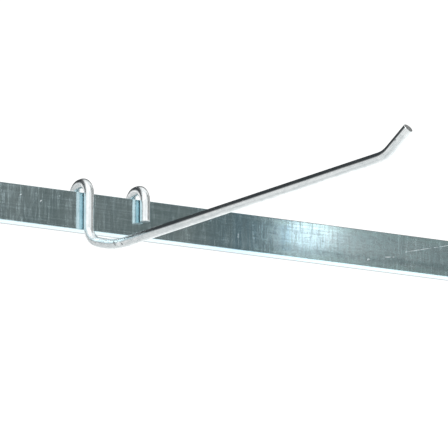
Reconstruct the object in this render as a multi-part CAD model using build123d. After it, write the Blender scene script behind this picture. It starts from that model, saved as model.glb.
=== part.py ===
"""Wire rail hook on a rectangular display rail.

Millimetres. +X runs along the rail, the arm reaches out towards -Y, and +Z is up.
The origin is the centre of the rail's left end, on the outside of the end plug's flange.
"""
from build123d import *
import math
import os

# Rail: rectangular steel tube, zinc plated
RAIL_LENGTH = 500.0
RAIL_HEIGHT = 30.0
RAIL_DEPTH = 14.0
RAIL_WALL = 1.5
RAIL_CORNER_RADIUS = 0.5
RAIL_BORE_RADIUS = 0.3

# End plugs: a flange over the tube's end and a hollow stub pressed into it
FLANGE_THICKNESS = 2.5
FLANGE_EDGE_RADIUS = 0.7
STUB_LENGTH = 15.0
STUB_WALL = 1.6

# Hook: one round steel wire, zinc plated
WIRE_DIAMETER = 8.0
CUT_EDGE_BREAK = 0.2
HOOK_LEFT_X = 122.5
HOOK_SPACING = 52.6

# Arches over the rail: gaps to the wire's surface, bends to its centreline, back legs askew to the right
FRONT_GAP = 1.4
ARCH_INNER_WIDTH = 16.0
ARCH_TOP_GAP = 4.2
ARCH_BEND_RADIUS = 10.6
ARCH_SKEW = 1.2
SHORT_LEG_REACH = 18.1
CROSS_RUN_DROP = 20.0
CROSS_RUN_BEND_RADIUS = 8.5

# Arm: leaves the long leg through a tight bend and a slack one, swung towards the short leg
ARM_SWING = 15.0
LEG_BEND_DROP = 39.0
LEG_BEND_RADIUS = 13.6
SLACK_RUN_LENGTH = 28.9
SLACK_RUN_ANGLE = -14.7
SLACK_BEND_RADIUS = 61.0
ARM_LENGTH = 275.7
ARM_ANGLE = 7.1
TIP_BEND_RADIUS = 21.8
TIP_LENGTH = 29.0
TIP_ANGLE = 38.7

# Places that follow from the sizes above
RAIL_START = FLANGE_THICKNESS
RAIL_MIDDLE = RAIL_START + RAIL_LENGTH / 2
RAIL_TOP = RAIL_HEIGHT / 2
FRONT_LEG_Y = -RAIL_DEPTH / 2 - FRONT_GAP - WIRE_DIAMETER / 2
BACK_LEG_Y = FRONT_LEG_Y + ARCH_INNER_WIDTH + WIRE_DIAMETER
ARCH_TOP_Z = RAIL_TOP + ARCH_TOP_GAP + WIRE_DIAMETER / 2
CROSS_RUN_Z = RAIL_TOP - CROSS_RUN_DROP
HOOK_RIGHT_X = HOOK_LEFT_X + HOOK_SPACING


def rail():
    """The tube, open at both ends."""
    outside = RectangleRounded(RAIL_DEPTH, RAIL_HEIGHT, RAIL_CORNER_RADIUS)
    bore = RectangleRounded(RAIL_DEPTH - 2 * RAIL_WALL, RAIL_HEIGHT - 2 * RAIL_WALL, RAIL_BORE_RADIUS)
    section = Plane.YZ.offset(RAIL_START) * (outside - bore)
    return extrude(section, RAIL_LENGTH)


def right_plug():
    """A flange flush with the rail, and the hollow stub that holds it in the tube."""
    flange = RectangleRounded(RAIL_DEPTH, RAIL_HEIGHT, RAIL_CORNER_RADIUS)
    stub_depth = RAIL_DEPTH - 2 * RAIL_WALL
    stub_height = RAIL_HEIGHT - 2 * RAIL_WALL
    stub = RectangleRounded(stub_depth, stub_height, RAIL_BORE_RADIUS)
    hollow = Rectangle(stub_depth - 2 * STUB_WALL, stub_height - 2 * STUB_WALL)
    face = Plane.YZ.offset(RAIL_START + RAIL_LENGTH)
    plate = extrude(face * flange, FLANGE_THICKNESS)
    outer_edges = plate.edges().group_by(Axis.X)[-1]
    plate = fillet(outer_edges, FLANGE_EDGE_RADIUS)
    return plate + extrude(face * stub, -STUB_LENGTH) - extrude(face * hollow, -STUB_LENGTH)


def left_plug():
    """The right plug, turned about for the other end."""
    return mirror(right_plug(), about=Plane.YZ.offset(RAIL_MIDDLE))


def arm_direction(angle):
    """Unit vector of the arm's upright plane, at this angle above the horizontal."""
    swing = math.radians(ARM_SWING)
    tilt = math.radians(angle)
    level = math.cos(tilt)
    return Vector(level * math.sin(swing), -level * math.cos(swing), math.sin(tilt))


def hook_corners():
    """The wire's centreline as corners, and the bend radius at each inner corner."""
    foot = Vector(HOOK_LEFT_X, FRONT_LEG_Y, RAIL_TOP - LEG_BEND_DROP)
    slack_end = foot + arm_direction(SLACK_RUN_ANGLE) * SLACK_RUN_LENGTH
    arm_end = slack_end + arm_direction(ARM_ANGLE) * ARM_LENGTH
    tip = arm_end + arm_direction(TIP_ANGLE) * TIP_LENGTH
    corners = [
        Vector(HOOK_RIGHT_X, FRONT_LEG_Y, RAIL_TOP - SHORT_LEG_REACH),
        Vector(HOOK_RIGHT_X, FRONT_LEG_Y, ARCH_TOP_Z),
        Vector(HOOK_RIGHT_X + ARCH_SKEW, BACK_LEG_Y, ARCH_TOP_Z),
        Vector(HOOK_RIGHT_X + ARCH_SKEW, BACK_LEG_Y, CROSS_RUN_Z),
        Vector(HOOK_LEFT_X + ARCH_SKEW, BACK_LEG_Y, CROSS_RUN_Z),
        Vector(HOOK_LEFT_X + ARCH_SKEW, BACK_LEG_Y, ARCH_TOP_Z),
        Vector(HOOK_LEFT_X, FRONT_LEG_Y, ARCH_TOP_Z),
        foot,
        slack_end,
        arm_end,
        tip,
    ]
    arch = [ARCH_BEND_RADIUS] * 2
    cross = [CROSS_RUN_BEND_RADIUS] * 2
    radii = arch + cross + arch + [LEG_BEND_RADIUS, SLACK_BEND_RADIUS, TIP_BEND_RADIUS]
    return corners, radii


def bent_line(corners, radii):
    """Straight runs through the corners, with a tangent arc of its own radius at each one."""
    edges = []
    start = corners[0]
    for before, corner, after, radius in zip(corners, corners[1:], corners[2:], radii):
        way_in = (corner - before).normalized()
        way_out = (after - corner).normalized()
        turn = math.radians(way_in.get_angle(way_out))
        setback = radius * math.tan(turn / 2)
        arc_start = corner - way_in * setback
        arc_end = corner + way_out * setback
        edges.append(Line(start, arc_start))
        edges.append(TangentArc(arc_start, arc_end, tangent=way_in))
        start = arc_end
    edges.append(Line(start, corners[-1]))
    return Wire(edges)


def hook_wire():
    """The whole hook: one round wire along its bent centreline, with both cut ends broken."""
    corners, radii = hook_corners()
    path = bent_line(corners, radii)
    section = Plane(origin=path @ 0, z_dir=path % 0) * Circle(WIRE_DIAMETER / 2)
    wire = sweep(section, path=path)
    flat_ends = wire.faces().filter_by(GeomType.PLANE)
    wire = chamfer(flat_ends.edges(), CUT_EDGE_BREAK)
    expected = math.pi * WIRE_DIAMETER ** 2 / 4 * path.length
    print("hook_wire length", round(path.length, 1), "volume / expected", round(wire.volume / expected, 4))
    return wire


nodes = {
    "rail": rail(),
    "end_plug_left": left_plug(),
    "end_plug_right": right_plug(),
    "hook_wire": hook_wire(),
}

os.makedirs("parts", exist_ok=True)
for name, solid in nodes.items():
    export_step(solid, f"parts/{name}.step")
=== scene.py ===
"""Looks of the wire rail hook on its display rail. Metres, in the CAD frame."""
import math

import bpy
from mathutils import Matrix, Vector


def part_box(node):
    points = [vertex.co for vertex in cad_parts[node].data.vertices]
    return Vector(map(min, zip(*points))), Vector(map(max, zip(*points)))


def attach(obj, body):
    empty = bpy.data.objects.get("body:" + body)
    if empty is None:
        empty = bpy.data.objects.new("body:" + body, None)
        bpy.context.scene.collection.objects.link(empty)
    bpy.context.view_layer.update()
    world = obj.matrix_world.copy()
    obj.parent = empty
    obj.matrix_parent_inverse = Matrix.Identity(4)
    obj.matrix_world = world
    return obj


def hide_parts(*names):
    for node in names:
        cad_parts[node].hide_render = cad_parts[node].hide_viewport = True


MM = 0.001

# The wire's bent centreline, as the CAD builds it, in millimetres and degrees
WIRE_RADIUS = 4.0
CUT_EDGE_BREAK = 0.2
HOOK_LEFT_X = 122.5
HOOK_SPACING = 52.6
FRONT_GAP = 1.4
ARCH_INNER_WIDTH = 16.0
ARCH_TOP_GAP = 4.2
ARCH_BEND_RADIUS = 10.6
ARCH_SKEW = 1.2
SHORT_LEG_REACH = 18.1
CROSS_RUN_DROP = 20.0
CROSS_RUN_BEND_RADIUS = 8.5
ARM_SWING = 15.0
LEG_BEND_DROP = 39.0
LEG_BEND_RADIUS = 13.6
SLACK_RUN_LENGTH = 28.9
SLACK_RUN_ANGLE = -14.7
SLACK_BEND_RADIUS = 61.0
ARM_LENGTH = 275.7
ARM_ANGLE = 7.1
TIP_BEND_RADIUS = 21.8
TIP_LENGTH = 29.0
TIP_ANGLE = 38.7

# The rail's section, in millimetres
RAIL_WALL = 1.5
RAIL_CORNER_RADIUS = 0.5
RAIL_BORE_RADIUS = 0.3

# Places on the rail, in millimetres: its middle, the weld seam on its back, a bluish stretch, a dull band
RAIL_MIDDLE_X = 252.5
RAIL_SEAM_Z = 4.0
RAIL_BLUE_X = 290.0
RAIL_DULL_Z = -7.6

# Hair scratches on the rail: angle in degrees, noise scale along them, noise scale across them
RAIL_HAIRS = ((7.0, 60.0, 900.0), (-12.0, 75.0, 950.0), (84.0, 110.0, 900.0))

# Scratches on the rail: from X, Z to X, Z, and the half width, in millimetres
RAIL_SCRATCHES = (
    (267.2, -4.7, 267.4, -2.1, 0.45),
    (393.2, -9.2, 394.3, -8.6, 0.90),
    (410.7, -5.2, 419.1, -4.3, 0.40),
    (430.1, 1.1, 480.0, 12.7, 0.19),
    (62.0, 6.5, 63.5, 7.2, 0.36),
    (81.0, 3.6, 82.0, 4.4, 0.34),
    (98.0, 9.8, 99.2, 10.0, 0.32),
)

# Stretches along the wire where bending left the zinc matt and crazed, in millimetres
WIRE_MATT_BENDS = ((17.0, 51.0), (136.0, 168.0), (197.0, 266.0))

# Bruises left by the bending tool, and painted highlight spots, on the wire: distance along it, turn
# round it in degrees, length, width, painted highlight or not
WIRE_BRUISES_AND_HIGHLIGHTS = (
    (237.0, 303.0, 1.9, 1.9, True),
    (233.6, 302.0, 0.7, 1.9, False),
    (232.2, 282.0, 1.0, 1.2, False),
    (240.4, 318.0, 0.9, 1.1, False),
    (501.8, 318.0, 1.0, 0.8, True),
    (522.0, 297.0, 1.2, 0.6, False),
)

# Camera: a long lens, far away and a little below the rail, looking up at it
CAMERA_AIM = Vector((0.2153, -0.0639, -0.0090))
CAMERA_AZIMUTH = math.radians(-34.0)
CAMERA_ELEVATION = math.radians(-11.2)
CAMERA_DISTANCE = 5.486
CAMERA_LENS = 562.5

# The light card stands half a metre off the rail's face, where the face mirrors it to the camera
CARD_EDGE_X = 0.297
CARD_OFFSET = Vector((0.290, -0.407, 0.095))
CARD_LENGTH = 0.21
CARD_BOTTOM_Z = -0.026
CARD_TOP_Z = 0.022
CARD_TINT = (1.0, 0.96, 0.95, 1.0)

# The soft key light, high at the front left
KEY_PLACE = Vector((-2.5, -3.0, 3.5))
KEY_TARGET = Vector((0.2, 0.0, 0.0))
KEY_SIZE = 2.5
KEY_POWER = 60.0

# The tent round the object, the dark opening in its back and the grey wall at its right
TENT_TONE = (1.12, 1.12, 1.12, 1.0)
OPENING_TONE = (0.045, 0.052, 0.056, 1.0)
WALL_DARK_TONE = (0.196, 0.196, 0.184, 1.0)
WALL_LIT_TONE = (0.43, 0.44, 0.44, 1.0)

FLOOR_Z = -1.6
FLOOR_RADIUS = 30.0
FLOOR_SIDES = 64
FLOOR_GLOW_LEFT = 0.15
FLOOR_GLOW_RIGHT = 0.75

# Fineness of the wire's mesh
WIRE_SIDES = 64
WIRE_RUN_STEP = 2.5
WIRE_TURN_STEP = math.radians(3)
RAIL_CORNER_STEPS = 8


# ---------------------------------------------------------------- node helpers

class Shader:
    """The node tree of a material or a world, with one short call per node."""

    def __init__(self, owner):
        self.owner = owner
        owner.use_nodes = True
        self.tree = owner.node_tree
        self.surface = self.tree.nodes.get("Principled BSDF")

    def node(self, kind, inputs=None, **settings):
        """A new node: settings are its own properties, inputs its sockets' values or links."""
        made = self.tree.nodes.new(kind)
        for key, value in settings.items():
            setattr(made, key, value)
        for key, value in (inputs or {}).items():
            self.feed(made.inputs[key], value)
        return made

    def feed(self, socket, value):
        """Links the socket to an output, or sets its value."""
        if isinstance(value, bpy.types.NodeSocket):
            self.tree.links.new(value, socket)
        else:
            socket.default_value = value

    def math(self, operation, first, second=0.0, clamp=False):
        made = self.node("ShaderNodeMath", {0: first, 1: second}, operation=operation)
        made.use_clamp = clamp
        return made.outputs[0]

    def times(self, first, second):
        return self.math("MULTIPLY", first, second)

    def most(self, masks):
        """The largest of several masks."""
        largest = masks[0]
        for mask in masks[1:]:
            largest = self.math("MAXIMUM", largest, mask)
        return largest

    def vector(self, operation, first, second):
        return self.node("ShaderNodeVectorMath", {0: first, 1: second}, operation=operation).outputs[0]

    def stretch(self, vector, scale, turn=(0.0, 0.0, 0.0)):
        """The vector turned, and then scaled along each axis."""
        turned = self.node("ShaderNodeMapping", {"Vector": vector, "Rotation": turn})
        scaled = self.node("ShaderNodeMapping", {"Vector": turned.outputs[0], "Scale": scale})
        return scaled.outputs[0]

    def noise(self, vector, scale, detail=2.0, roughness=0.5):
        inputs = {"Vector": vector, "Scale": scale, "Detail": detail, "Roughness": roughness}
        return self.node("ShaderNodeTexNoise", inputs).outputs["Fac"]

    def remap(self, value, low, high, to_low=0.0, to_high=1.0):
        """value from low..high to to_low..to_high, smooth and held at both ends."""
        inputs = {"Value": value, "From Min": low, "From Max": high, "To Min": to_low, "To Max": to_high}
        made = self.node("ShaderNodeMapRange", inputs, interpolation_type="SMOOTHSTEP")
        return made.outputs["Result"]

    def near(self, value, centre, core, reach):
        """1 within core of the centre, falling softly to 0 at reach from it."""
        off = self.math("ABSOLUTE", self.math("SUBTRACT", value, centre))
        return self.remap(off, core, reach, 1.0, 0.0)

    def mix(self, factor, first, second):
        """A colour between first and second."""
        made = self.node("ShaderNodeMix", data_type="RGBA")
        self.feed(made.inputs[0], factor)
        self.feed(made.inputs[6], first)
        self.feed(made.inputs[7], second)
        return made.outputs[2]

    def layers(self, tone, coats):
        """The tone under coats of colour, each with its mask and its strength."""
        for mask, strength, colour in coats:
            tone = self.mix(self.times(mask, strength), tone, colour + (1.0,))
        return tone

    def length(self, vector):
        return self.node("ShaderNodeVectorMath", {0: vector}, operation="LENGTH").outputs["Value"]

    def spot(self, vector, centre, reach):
        """1 inside an ellipsoid of this reach along each axis, falling softly to 0 at its edge."""
        apart = self.vector("SUBTRACT", vector, centre)
        share = self.vector("MULTIPLY", apart, tuple(1 / size for size in reach))
        return self.remap(self.length(share), 0.65, 1.0, 1.0, 0.0)

    def bump(self, height, strength, distance, normal=None):
        inputs = {"Height": height, "Strength": strength, "Distance": distance}
        if normal is not None:
            inputs["Normal"] = normal
        return self.node("ShaderNodeBump", inputs).outputs["Normal"]


# ---------------------------------------------------------------- materials

def rail_scratches(s, place):
    """The rail's few long scratches, each from one end to the other."""
    flat = s.vector("MULTIPLY", place, (1.0, 0.0, 1.0))
    marks = []
    for from_x, from_z, to_x, to_z, width in RAIL_SCRATCHES:
        run = Vector((to_x - from_x, 0.0, to_z - from_z)) * MM
        apart = s.vector("SUBTRACT", flat, Vector((from_x, 0.0, from_z)) * MM)
        unit = run / run.length_squared
        along = s.node("ShaderNodeVectorMath", {0: apart, 1: unit}, operation="DOT_PRODUCT")
        share = s.math("ADD", along.outputs["Value"], 0.0, clamp=True)
        nearest = s.node("ShaderNodeVectorMath", {0: run, "Scale": share}, operation="SCALE")
        off = s.vector("SUBTRACT", apart, nearest.outputs[0])
        marks.append(s.remap(s.length(off), 0.3 * width * MM, width * MM, 1.0, 0.0))
    broken = s.remap(s.noise(place, 240.0, 2.0), 0.36, 0.54, 0.25, 1.0)
    return s.times(s.most(marks), broken)


def rail_marks(s, place):
    """Every small mark on the rail, and the long scratches alone."""
    hairs = []
    for angle, reach, fineness in RAIL_HAIRS:
        turned = s.stretch(place, (reach, fineness, fineness), (0.0, math.radians(angle), 0.0))
        hairs.append(s.remap(s.noise(turned, 1.0, 1.0), 0.74, 0.80))
    hair = s.times(s.most(hairs), 0.16)
    speck = s.times(s.remap(s.noise(place, 420.0, 1.0), 0.79, 0.83), 0.6)
    scratch = rail_scratches(s, place)
    return s.most([hair, speck, scratch]), scratch


def rail_wear(s, place, parts, band):
    """Marks on the rail's right part: a dull band, lighter strips near the top and bottom of its face, a
    weave of rubs, and a painted dark reflection along its top edge.
    """
    right_part = s.remap(parts["X"], 0.270, 0.300)
    upright = s.noise(s.stretch(place, (430.0, 430.0, 130.0)), 1.0, 4.0, 0.75)
    level = s.noise(s.stretch(place, (130.0, 470.0, 470.0)), 1.0, 4.0, 0.75)
    patchy = s.times(right_part, s.remap(s.math("ADD", level, band), 0.80, 1.15, 0.35, 1.0))
    wander = s.times(s.math("SUBTRACT", s.noise(place, 60.0, 4.0, 0.7), 0.5), 0.012)
    height = s.math("ADD", parts["Z"], wander)
    dull = s.times(s.near(height, RAIL_DULL_Z * MM, 0.0002, 0.0038), patchy)
    # lighter strips near the top and bottom of the face, in patches
    low = s.remap(parts["Z"], -0.0095, -0.0120)
    high = s.remap(parts["Z"], 0.0080, 0.0128)
    top_and_bottom_strips = s.times(s.most([low, high]), patchy)
    weave = s.times(s.remap(s.math("ADD", upright, level), 0.88, 1.14), right_part)
    # painted reflection: a dark line along the rounded top edge, standing for the dark opening it mirrors
    edge = s.times(s.remap(parts["Z"], 0.0144, 0.0147), right_part)
    return dull, top_and_bottom_strips, weave, edge


def zinc_rail_material():
    """Bright zinc on rolled steel tube: draw lines, upright rubs near its ends, wear, scratches, and a
    painted dark reflection along the top edge of its right part.
    """
    s = Shader(bpy.data.materials.new("zinc_rail"))
    place = s.node("ShaderNodeTexCoord").outputs["Object"]
    parts = s.node("ShaderNodeSeparateXYZ", {0: place}).outputs
    cloud = s.noise(place, 26.0, 3.0)
    draw = s.noise(s.stretch(place, (14.0, 700.0, 700.0)), 1.0, 4.0, 0.62)
    band = s.noise(s.stretch(place, (90.0, 90.0, 6.0)), 1.0, 3.0, 0.6)
    rub = s.noise(s.stretch(place, (620.0, 620.0, 60.0)), 1.0, 4.0, 0.65)
    from_middle = s.math("ABSOLUTE", s.math("SUBTRACT", parts["X"], RAIL_MIDDLE_X * MM))
    rub = s.times(s.remap(rub, 0.42, 0.72), s.remap(from_middle, 0.130, 0.175, 0.60, 1.0))
    marks, scratch = rail_marks(s, place)
    dull, top_and_bottom_strips, weave, edge = rail_wear(s, place, parts, band)
    underneath = s.remap(parts["Z"], -0.0148, -0.0140, 1.0, 0.0)
    # darker on the back part of the underside
    dark_underside_back = s.times(s.remap(parts["Y"], 0.0022, 0.0034), underneath)
    behind = s.remap(parts["Y"], 0.0060, 0.0068)
    seam = s.times(s.near(parts["Z"], RAIL_SEAM_Z * MM, 0.0002, 0.0009), behind)
    bluish = s.remap(band, 0.30, 0.60, 0.55, 1.0)
    blue = s.times(s.near(parts["X"], RAIL_BLUE_X * MM, 0.015, 0.075), bluish)

    tone = s.mix(s.remap(cloud, 0.35, 0.65), (0.56, 0.75, 0.81, 1), (0.66, 0.83, 0.88, 1))
    tone = s.layers(tone, (
        (s.remap(draw, 0.42, 0.66), 0.60, (0.74, 0.93, 1.0)),
        (s.remap(band, 0.50, 0.68), 0.40, (0.52, 0.70, 0.78)),
        (blue, 0.85, (0.43, 0.71, 0.88)),
        (rub, 0.45, (0.80, 0.97, 1.0)),
        (dull, 0.60, (0.33, 0.46, 0.50)),
        # lighter strips near the top and bottom of the face
        (top_and_bottom_strips, 0.70, (0.70, 0.97, 1.0)),
        (weave, 0.45, (0.64, 0.93, 1.0)),
        (s.remap(weave, 0.35, 0.0), 0.22, (0.36, 0.50, 0.55)),
        # painted dark reflection along the top edge
        (edge, 0.85, (0.22, 0.26, 0.28)),
        (scratch, 0.70, (0.98, 0.99, 1.0)),
        # darker on the back part of the underside
        (dark_underside_back, 0.85, (0.16, 0.18, 0.19)),
        (seam, 0.50, (0.45, 0.48, 0.49)),
    ))
    s.feed(s.surface.inputs["Base Color"], tone)
    s.surface.inputs["Metallic"].default_value = 1.0
    rough = s.math("ADD", s.remap(cloud, 0.3, 0.7, 0.075, 0.10), s.remap(draw, 0.3, 0.7, 0.0, 0.05))
    rough = s.math("ADD", rough, s.times(rub, 0.13))
    rough = s.math("ADD", rough, s.times(marks, 0.42))
    s.feed(s.surface.inputs["Roughness"], rough)
    relief = s.bump(draw, 0.10, 0.00003)
    relief = s.bump(rub, 0.08, 0.00004, relief)
    relief = s.bump(marks, 0.35, 0.00006, relief)
    relief = s.bump(seam, 0.30, 0.00010, relief)
    s.feed(s.surface.inputs["Normal"], relief)
    return s.owner


def wire_bruises_and_highlights(s, along, highlights):
    """Painted highlight spots, near-white glints on the wire's bends, or the bending tool's bruises."""
    marks = []
    for distance, turn, length, width, is_highlight in WIRE_BRUISES_AND_HIGHLIGHTS:
        if is_highlight == highlights:
            angle = math.radians(turn)
            centre = Vector((WIRE_RADIUS * math.cos(angle), WIRE_RADIUS * math.sin(angle), distance)) * MM
            marks.append(s.spot(along, centre, (width * MM, width * MM, length * MM)))
    return s.most(marks)


def wire_matt_bends(s, along):
    """The stretches of the wire that bending left matt."""
    distance = s.node("ShaderNodeSeparateXYZ", {0: along}).outputs["Z"]
    zones = []
    for start, end in WIRE_MATT_BENDS:
        begins = s.remap(distance, (start - 5) * MM, (start + 5) * MM)
        ends = s.remap(distance, (end - 8) * MM, (end + 8) * MM, 1.0, 0.0)
        zones.append(s.times(begins, ends))
    return s.most(zones)


def zinc_wire_material():
    """Bright zinc on drawn wire: die lines that follow the bends, a soft mottle, bending-tool bruises and
    painted highlight spots.
    """
    s = Shader(bpy.data.materials.new("zinc_wire"))
    along = s.node("ShaderNodeAttribute", attribute_name="along_wire").outputs["Vector"]
    die_lines = s.noise(s.stretch(along, (1300.0, 1300.0, 12.0)), 1.0, 3.0, 0.6)
    mottle = s.noise(s.stretch(along, (420.0, 420.0, 190.0)), 1.0, 3.0, 0.55)
    cloud = s.noise(s.stretch(along, (160.0, 160.0, 45.0)), 1.0, 2.0)
    streak = s.noise(s.stretch(along, (480.0, 480.0, 4.0)), 1.0, 2.0, 0.6)
    nick = s.remap(s.noise(s.stretch(along, (700.0, 700.0, 300.0)), 1.0, 1.0), 0.75, 0.79)
    # painted highlight: near-white spots of base colour where the bent wire shows bright glints
    painted_highlights = wire_bruises_and_highlights(s, along, True)
    bruise = wire_bruises_and_highlights(s, along, False)
    bent = wire_matt_bends(s, along)
    craze = s.times(s.noise(s.stretch(along, (620.0, 620.0, 420.0)), 1.0, 3.0, 0.6), bent)

    tone = s.mix(s.remap(cloud, 0.3, 0.7), (0.76, 0.805, 0.815, 1), (0.88, 0.915, 0.92, 1))
    tone = s.layers(tone, (
        (s.remap(mottle, 0.50, 0.70), 0.6, (0.60, 0.645, 0.66)),
        (s.remap(mottle, 0.48, 0.32), 0.6, (0.98, 0.99, 0.99)),
        (s.remap(streak, 0.52, 0.66), 0.5, (0.60, 0.645, 0.66)),
        (s.remap(streak, 0.48, 0.34), 0.6, (0.96, 0.98, 0.98)),
        (s.remap(craze, 0.50, 0.68), 0.6, (0.52, 0.56, 0.57)),
        (bruise, 0.85, (0.26, 0.28, 0.29)),
        # painted highlight spots, near white
        (painted_highlights, 0.90, (0.97, 0.98, 0.98)),
    ))
    s.feed(s.surface.inputs["Base Color"], tone)
    s.surface.inputs["Metallic"].default_value = 1.0
    rough = s.math("ADD", s.remap(cloud, 0.3, 0.7, 0.10, 0.15), s.remap(mottle, 0.4, 0.7, 0.0, 0.08))
    rough = s.math("ADD", rough, s.times(bent, 0.14))
    rough = s.math("ADD", rough, s.times(nick, 0.2))
    rough = s.math("ADD", rough, s.times(s.most([bruise, painted_highlights]), 0.25))
    s.feed(s.surface.inputs["Roughness"], rough)
    relief = s.bump(die_lines, 0.08, 0.00005)
    relief = s.bump(mottle, 0.14, 0.0001, relief)
    relief = s.bump(craze, 0.30, 0.0002, relief)
    relief = s.bump(nick, -0.3, 0.0001, relief)
    relief = s.bump(bruise, -0.5, 0.00025, relief)
    relief = s.bump(painted_highlights, 0.3, 0.0002, relief)
    s.feed(s.surface.inputs["Normal"], relief)
    return s.owner


def cut_steel_material():
    """The wire's sheared ends: dull grey steel with a fine torn grain."""
    s = Shader(bpy.data.materials.new("cut_steel"))
    place = s.node("ShaderNodeTexCoord").outputs["Object"]
    grain = s.noise(place, 1800.0, 4.0, 0.65)
    smear = s.noise(s.stretch(place, (300.0, 300.0, 1200.0)), 1.0, 2.0)
    tone = s.mix(s.remap(grain, 0.3, 0.7), (0.20, 0.21, 0.21, 1), (0.38, 0.39, 0.39, 1))
    tone = s.mix(s.remap(smear, 0.5, 0.7, 0.0, 0.6), tone, (0.50, 0.51, 0.51, 1))
    s.feed(s.surface.inputs["Base Color"], tone)
    s.surface.inputs["Metallic"].default_value = 1.0
    s.feed(s.surface.inputs["Roughness"], s.remap(grain, 0.3, 0.7, 0.42, 0.62))
    s.feed(s.surface.inputs["Normal"], s.bump(grain, 0.5, 0.00015))
    return s.owner


def plug_material():
    """Moulded plastic with a fine spark-eroded texture."""
    s = Shader(bpy.data.materials.new("plug_plastic"))
    place = s.node("ShaderNodeTexCoord").outputs["Object"]
    pebble = s.noise(place, 2200.0, 3.0, 0.6)
    haze = s.noise(place, 160.0, 3.0)
    s.feed(s.surface.inputs["Base Color"],
           s.mix(s.remap(haze, 0.35, 0.65), (0.022, 0.023, 0.025, 1), (0.038, 0.039, 0.042, 1)))
    s.feed(s.surface.inputs["Roughness"], s.remap(haze, 0.3, 0.7, 0.42, 0.55))
    s.feed(s.surface.inputs["Normal"], s.bump(pebble, 0.35, 0.0001))
    return s.owner


def floor_material():
    """Pale studio floor with a painted glow: it emits light, more strongly towards the right."""
    s = Shader(bpy.data.materials.new("studio_floor"))
    place = s.node("ShaderNodeTexCoord").outputs["Object"]
    haze = s.noise(place, 0.7, 3.0)
    s.feed(s.surface.inputs["Base Color"],
           s.mix(haze, (0.78, 0.785, 0.785, 1), (0.82, 0.82, 0.82, 1)))
    s.surface.inputs["Roughness"].default_value = 0.9
    # painted light: the floor glows by emission, weak at the left and strong at the right
    s.surface.inputs["Emission Color"].default_value = (0.97, 1.0, 1.0, 1.0)
    parts = s.node("ShaderNodeSeparateXYZ", {0: place}).outputs
    s.feed(s.surface.inputs["Emission Strength"],
           s.remap(parts["X"], -1.0, 4.0, FLOOR_GLOW_LEFT, FLOOR_GLOW_RIGHT))
    return s.owner


def card_material():
    """A light card that is brightest near one edge and fades away along its length."""
    s = Shader(bpy.data.materials.new("light_card"))
    place = s.node("ShaderNodeTexCoord").outputs["Object"]
    parts = s.node("ShaderNodeSeparateXYZ", {0: place}).outputs
    streaks = s.noise(s.stretch(place, (45.0, 1.0, 300.0)), 1.0, 3.0, 0.6)
    ragged = s.times(s.math("SUBTRACT", streaks, 0.5), 0.030)
    height = s.math("ADD", parts["Z"], ragged)
    begins = s.remap(parts["X"], 0.002, 0.008)
    core = s.times(begins, s.remap(parts["X"], 0.030, 0.085, 1.0, 0.0))
    core = s.times(core, s.remap(height, -0.008, 0.003, 0.0, 2.1))
    tail = s.times(begins, s.remap(parts["X"], 0.050, 0.15, 0.38, 0.12))
    tail = s.times(tail, s.remap(height, -0.016, 0.004, 0.4, 1.0))
    edges = s.times(s.remap(parts["Z"], -0.024, -0.016), s.remap(parts["X"], 0.19, 0.20, 1.0, 0.0))
    glow = s.times(s.most([core, tail]), edges)
    light = s.node("ShaderNodeEmission", {"Color": CARD_TINT, "Strength": glow})
    clear = s.node("ShaderNodeBsdfTransparent")
    both = s.node("ShaderNodeAddShader", {0: light.outputs[0], 1: clear.outputs[0]})
    s.tree.links.new(both.outputs[0], s.tree.nodes["Material Output"].inputs["Surface"])
    return s.owner


# ---------------------------------------------------------------- geometry

def arm_direction(angle):
    """Unit vector of the arm's upright plane, at this angle in degrees above the horizontal."""
    swing = math.radians(ARM_SWING)
    tilt = math.radians(angle)
    level = math.cos(tilt)
    return Vector((level * math.sin(swing), -level * math.cos(swing), math.sin(tilt)))


def hook_corners(rail_low, rail_high):
    """The wire's centreline as corners, and the bend radius at each inner corner, in metres."""
    front_y = rail_low.y - (FRONT_GAP + WIRE_RADIUS) * MM
    back_y = front_y + (ARCH_INNER_WIDTH + 2 * WIRE_RADIUS) * MM
    rail_top = rail_high.z
    arch_z = rail_top + (ARCH_TOP_GAP + WIRE_RADIUS) * MM
    cross_z = rail_top - CROSS_RUN_DROP * MM
    left_x = HOOK_LEFT_X * MM
    right_x = left_x + HOOK_SPACING * MM
    back_left_x = left_x + ARCH_SKEW * MM
    back_right_x = right_x + ARCH_SKEW * MM
    foot = Vector((left_x, front_y, rail_top - LEG_BEND_DROP * MM))
    slack_end = foot + arm_direction(SLACK_RUN_ANGLE) * SLACK_RUN_LENGTH * MM
    arm_end = slack_end + arm_direction(ARM_ANGLE) * ARM_LENGTH * MM
    tip = arm_end + arm_direction(TIP_ANGLE) * TIP_LENGTH * MM
    corners = [
        Vector((right_x, front_y, rail_top - SHORT_LEG_REACH * MM)),
        Vector((right_x, front_y, arch_z)),
        Vector((back_right_x, back_y, arch_z)),
        Vector((back_right_x, back_y, cross_z)),
        Vector((back_left_x, back_y, cross_z)),
        Vector((back_left_x, back_y, arch_z)),
        Vector((left_x, front_y, arch_z)),
        foot,
        slack_end,
        arm_end,
        tip,
    ]
    arch = [ARCH_BEND_RADIUS] * 2
    cross = [CROSS_RUN_BEND_RADIUS] * 2
    radii = arch + cross + arch + [LEG_BEND_RADIUS, SLACK_BEND_RADIUS, TIP_BEND_RADIUS]
    return corners, [radius * MM for radius in radii]


def run_points(start, end, step):
    """Evenly spaced points from start, up to but not including end, each with its direction."""
    way = (end - start).normalized()
    count = max(1, round((end - start).length / step))
    return [(start.lerp(end, index / count), way) for index in range(count)]


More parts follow.
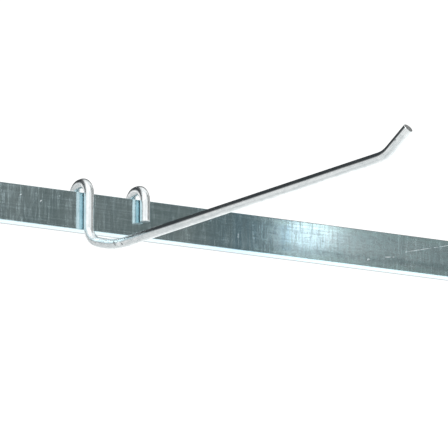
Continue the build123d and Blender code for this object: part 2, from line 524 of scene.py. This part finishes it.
def arc_points(start, way, axis, radius, turn, step):
    """Points on an arc that leaves start along way, without its end, each with its direction."""
    centre = start + axis.cross(way) * radius
    count = max(2, math.ceil(turn / step))
    swings = [Matrix.Rotation(turn * index / count, 3, axis) for index in range(count)]
    return [(centre + swing @ (start - centre), swing @ way) for swing in swings]


def bent_line(corners, radii, run_step, turn_step):
    """Points along straight runs and tangent arcs, each with its direction: [(point, direction)]."""
    points = []
    start = corners[0]
    for before, corner, after, radius in zip(corners, corners[1:], corners[2:], radii):
        way_in = (corner - before).normalized()
        way_out = (after - corner).normalized()
        turn = way_in.angle(way_out)
        axis = way_in.cross(way_out).normalized()
        setback = radius * math.tan(turn / 2)
        arc_start = corner - way_in * setback
        points += run_points(start, arc_start, run_step)
        points += arc_points(arc_start, way_in, axis, radius, turn, turn_step)
        start = corner + way_out * setback
    points += run_points(start, corners[-1], run_step)
    points.append((corners[-1], points[-1][1]))
    return points


def wire_rings(path, radius, edge_break):
    """The wire's rings: centre, direction, sideways vector, distance along the wire, and radius."""
    rings = []
    travelled = 0.0
    across = path[0][1].orthogonal().normalized()
    for index, (point, way) in enumerate(path):
        if index:
            previous_point, previous_way = path[index - 1]
            travelled += (point - previous_point).length
            across = previous_way.rotation_difference(way) @ across
        rings.append((point, way, across.copy(), travelled, radius))
    start, end = rings[0], rings[-1]
    rings[0] = (start[0] + start[1] * edge_break,) + start[1:]
    rings[-1] = (end[0] - end[1] * edge_break,) + end[1:]
    rings.insert(0, start[:4] + (radius - edge_break,))
    rings.append(end[:4] + (radius - edge_break,))
    return rings


def swept_wire(name, path, radius, edge_break, sides):
    """A round wire along the path, with broken edges at both ends, and the along_wire attribute."""
    rings = wire_rings(path, radius, edge_break)
    vertices, coordinates, faces = [], [], []
    for point, way, across, travelled, ring_radius in rings:
        up = way.cross(across)
        for side in range(sides):
            angle = 2 * math.pi * side / sides
            out = across * math.cos(angle) + up * math.sin(angle)
            vertices.append(point + out * ring_radius)
            coordinates += (math.cos(angle) * radius, math.sin(angle) * radius, travelled)
    for ring in range(len(rings) - 1):
        for side in range(sides):
            a = ring * sides + side
            b = ring * sides + (side + 1) % sides
            faces.append((a, b, b + sides, a + sides))
    last = (len(rings) - 1) * sides
    faces.append(tuple(reversed(range(sides))))
    faces.append(tuple(last + side for side in range(sides)))

    mesh = bpy.data.meshes.new(name)
    mesh.from_pydata(vertices, [], faces)
    attribute = mesh.attributes.new("along_wire", "FLOAT_VECTOR", "POINT")
    attribute.data.foreach_set("vector", coordinates)
    mesh.polygons[-1].material_index = 1
    mesh.polygons[-2].material_index = 1
    mesh.shade_smooth()
    mesh.set_sharp_from_angle(angle=math.radians(30))
    piece = bpy.data.objects.new(name, mesh)
    bpy.context.collection.objects.link(piece)
    return piece


def rounded_section(depth, height, radius, steps):
    """Points and outward normals round a rectangle with rounded corners, in the Y-Z plane."""
    outline = []
    for quarter in range(4):
        sign_y = 1 if quarter in (0, 3) else -1
        sign_z = 1 if quarter < 2 else -1
        centre_y = sign_y * (depth / 2 - radius)
        centre_z = sign_z * (height / 2 - radius)
        for step in range(steps + 1):
            angle = math.pi / 2 * (quarter + step / steps)
            normal = (math.cos(angle), math.sin(angle))
            outline.append((centre_y + radius * normal[0], centre_z + radius * normal[1], normal))
    return outline


def rail_tube(name, low, high):
    """The rail as a tube with its true wall, flat faces and small round corners."""
    centre = (low + high) / 2
    depth, height = high.y - low.y, high.z - low.z
    wall = RAIL_WALL * MM
    outer = rounded_section(depth, height, RAIL_CORNER_RADIUS * MM, RAIL_CORNER_STEPS)
    inner = rounded_section(depth - 2 * wall, height - 2 * wall, RAIL_BORE_RADIUS * MM, RAIL_CORNER_STEPS)
    count = len(outer)
    vertices, normals, faces = [], [], []
    for outline, facing in ((outer, 1.0), (inner, -1.0)):
        for x in (low.x, high.x):
            for y, z, normal in outline:
                vertices.append((x, centre.y + y, centre.z + z))
                normals.append(Vector((0.0, normal[0], normal[1])) * facing)
    face_normals = []
    for index in range(count):
        after = (index + 1) % count
        outside = (index, after, after + count, index + count)
        inside = tuple(vertex + 2 * count for vertex in reversed(outside))
        left = (index, index + 2 * count, after + 2 * count, after)
        right = tuple(vertex + count for vertex in reversed(left))
        faces += [outside, inside, left, right]
        face_normals += [None, None, Vector((-1, 0, 0)), Vector((1, 0, 0))]

    mesh = bpy.data.meshes.new(name)
    mesh.from_pydata(vertices, [], faces)
    mesh.shade_smooth()
    loop_normals = []
    for polygon, flat in zip(mesh.polygons, face_normals):
        for vertex in polygon.vertices:
            loop_normals.append(flat or normals[vertex])
    mesh.normals_split_custom_set(loop_normals)
    piece = bpy.data.objects.new(name, mesh)
    bpy.context.collection.objects.link(piece)
    return piece


# ---------------------------------------------------------------- studio

def build_camera():
    back = Vector((
        math.sin(CAMERA_AZIMUTH) * math.cos(CAMERA_ELEVATION),
        -math.cos(CAMERA_AZIMUTH) * math.cos(CAMERA_ELEVATION),
        math.sin(CAMERA_ELEVATION),
    ))
    camera = bpy.data.objects.new("camera", bpy.data.cameras.new("camera"))
    bpy.context.collection.objects.link(camera)
    camera.location = CAMERA_AIM + back * CAMERA_DISTANCE
    camera.rotation_mode = "QUATERNION"
    camera.rotation_quaternion = (-back).to_track_quat("-Z", "Y")
    camera.data.lens = CAMERA_LENS
    camera.data.clip_end = 100.0
    bpy.context.scene.camera = camera


def tent_opening(s, parts):
    """The dark opening above the back; its lower edge is hazy at the left and crisp elsewhere."""
    to_left = s.remap(parts["X"], -0.75, -0.35, 1.0, 0.0)
    hazy = s.times(s.remap(parts["Z"], -0.30, 0.40), to_left)
    crisp = s.times(s.remap(parts["Z"], 0.22, 0.32), s.math("SUBTRACT", 1.0, to_left))
    above = s.times(s.math("ADD", hazy, crisp), s.remap(parts["Z"], 0.80, 0.92, 1.0, 0.0))
    return s.times(above, s.remap(parts["Y"], 0.12, 0.35))


def build_world():
    """A white tent with a dark opening above the back, and a grey wall at the front right."""
    s = Shader(bpy.data.worlds.new("studio"))
    bpy.context.scene.world = s.owner
    direction = s.node("ShaderNodeTexCoord").outputs["Generated"]
    parts = s.node("ShaderNodeSeparateXYZ", {0: direction}).outputs
    azimuth = s.math("DEGREES", s.math("ARCTAN2", parts["Y"], parts["X"]))
    wall = s.times(s.remap(azimuth, -64.0, -61.0), s.remap(azimuth, 35.0, 48.0, 1.0, 0.0))
    wall_top = s.remap(azimuth, -28.0, -12.0, 0.80, 0.50)
    wall = s.times(wall, s.remap(s.math("SUBTRACT", parts["Z"], wall_top), 0.0, 0.1, 1.0, 0.0))
    wall_tone = s.mix(s.remap(azimuth, -50.0, -40.0), WALL_DARK_TONE, WALL_LIT_TONE)
    tone = s.mix(wall, TENT_TONE, wall_tone)
    tone = s.mix(tent_opening(s, parts), tone, OPENING_TONE)
    s.feed(s.tree.nodes["Background"].inputs["Color"], tone)


def build_floor():
    mesh = bpy.data.meshes.new("floor")
    corners = []
    for side in range(FLOOR_SIDES):
        angle = 2 * math.pi * side / FLOOR_SIDES
        corners.append((FLOOR_RADIUS * math.cos(angle), FLOOR_RADIUS * math.sin(angle), FLOOR_Z))
    mesh.from_pydata(corners, [], [tuple(range(FLOOR_SIDES))])
    floor = bpy.data.objects.new("floor", mesh)
    bpy.context.collection.objects.link(floor)
    mesh.materials.append(floor_material())


def build_key_light():
    """A broad soft light over the floor."""
    data = bpy.data.lights.new("key", "AREA")
    data.shape = "SQUARE"
    data.size = KEY_SIZE
    data.energy = KEY_POWER
    light = bpy.data.objects.new("key", data)
    bpy.context.collection.objects.link(light)
    light.location = KEY_PLACE
    light.rotation_mode = "QUATERNION"
    light.rotation_quaternion = (KEY_TARGET - KEY_PLACE).to_track_quat("-Z", "Y")
    light.visible_camera = False


def build_light_card(rail_low):
    """A small card that the rail's face mirrors and the camera doesn't see."""
    mesh = bpy.data.meshes.new("light_card")
    corners = [
        (0.0, 0.0, CARD_TOP_Z),
        (CARD_LENGTH, 0.0, CARD_TOP_Z),
        (CARD_LENGTH, 0.0, CARD_BOTTOM_Z),
        (0.0, 0.0, CARD_BOTTOM_Z),
    ]
    mesh.from_pydata(corners, [], [(0, 1, 2, 3)])
    card = bpy.data.objects.new("light_card", mesh)
    bpy.context.collection.objects.link(card)
    card.location = Vector((CARD_EDGE_X, rail_low.y, 0.0)) + CARD_OFFSET
    card.visible_camera = False
    mesh.materials.append(card_material())


# ---------------------------------------------------------------- the object

def build_hook(rail_low, rail_high):
    corners, radii = hook_corners(rail_low, rail_high)
    path = bent_line(corners, radii, WIRE_RUN_STEP * MM, WIRE_TURN_STEP)
    hook = swept_wire("hook_bent_wire", path, WIRE_RADIUS * MM, CUT_EDGE_BREAK * MM, WIRE_SIDES)
    hook.data.materials.append(zinc_wire_material())
    hook.data.materials.append(cut_steel_material())
    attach(hook, "hook")
    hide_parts("hook_wire")


def build_rail(rail_low, rail_high):
    tube = rail_tube("rail_tube", rail_low, rail_high)
    tube.data.materials.append(zinc_rail_material())
    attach(tube, "rail")
    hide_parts("rail")


def dress_plugs(nodes):
    plastic = plug_material()
    for name in ("end_plug_left", "end_plug_right"):
        nodes[name].material_slots[0].material = plastic


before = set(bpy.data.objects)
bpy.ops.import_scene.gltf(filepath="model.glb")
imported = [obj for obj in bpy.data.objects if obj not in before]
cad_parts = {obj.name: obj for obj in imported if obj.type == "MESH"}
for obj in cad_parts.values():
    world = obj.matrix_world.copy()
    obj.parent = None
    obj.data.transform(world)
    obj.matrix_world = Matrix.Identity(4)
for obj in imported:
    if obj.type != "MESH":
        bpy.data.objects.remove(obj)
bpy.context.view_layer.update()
rail_low, rail_high = (Vector(corner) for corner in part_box("rail"))
bpy.context.scene.view_settings.view_transform = "Standard"
build_camera()
build_world()
build_floor()
build_key_light()
build_light_card(rail_low)
build_rail(rail_low, rail_high)
build_hook(rail_low, rail_high)
dress_plugs(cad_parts)
